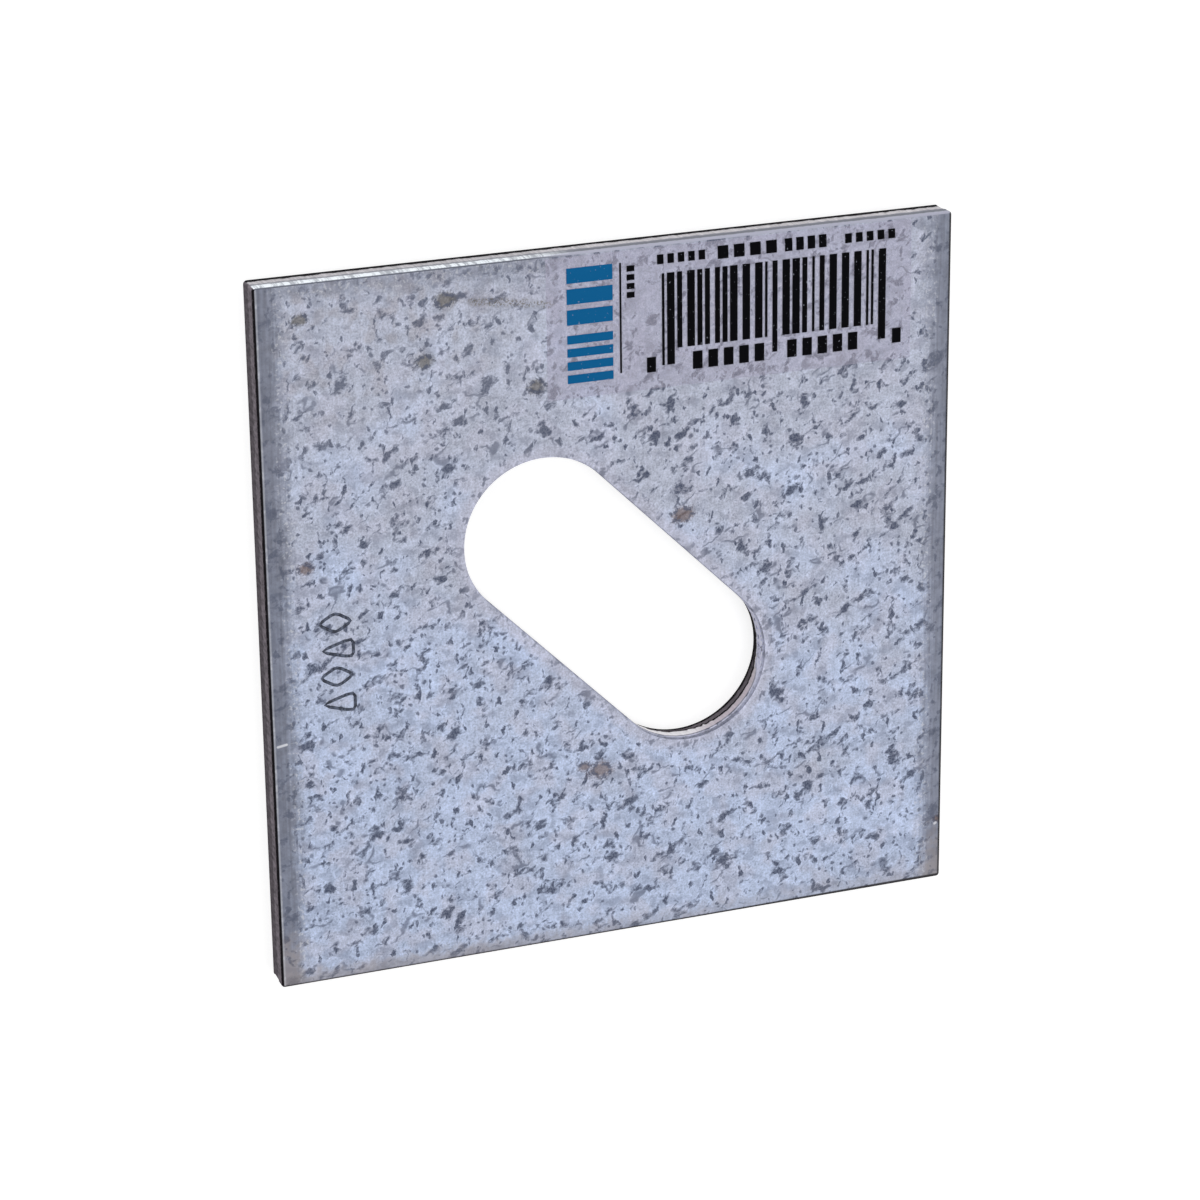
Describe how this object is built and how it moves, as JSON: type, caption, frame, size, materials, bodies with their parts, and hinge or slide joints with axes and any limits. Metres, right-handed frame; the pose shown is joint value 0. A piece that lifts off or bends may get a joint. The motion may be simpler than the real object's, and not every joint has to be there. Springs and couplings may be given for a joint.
{
  "type": "square plate washer",
  "caption": "Square galvanised steel plate washer with a diagonal slot, which spreads the load of an anchor bolt's nut over a timber sill plate.",
  "frame": {"origin": "centre of the square on the plate's back face, which it lies on", "axes": "+Z out of the front face, +X and +Y along the square's sides; the slot runs from -X +Y to +X -Y"},
  "size_m": [0.0762, 0.0762, 0.0036],
  "materials": {
    "galvanised_steel": "hot-dip zinc with dark spangle flecks, bare steel on the cut edges",
    "label_film": "clear self-adhesive film with plain printed bars and stripes"
  },
  "bodies": {
    "root": {"washer_plate": "galvanised_steel"}
  },
  "joints": []
}
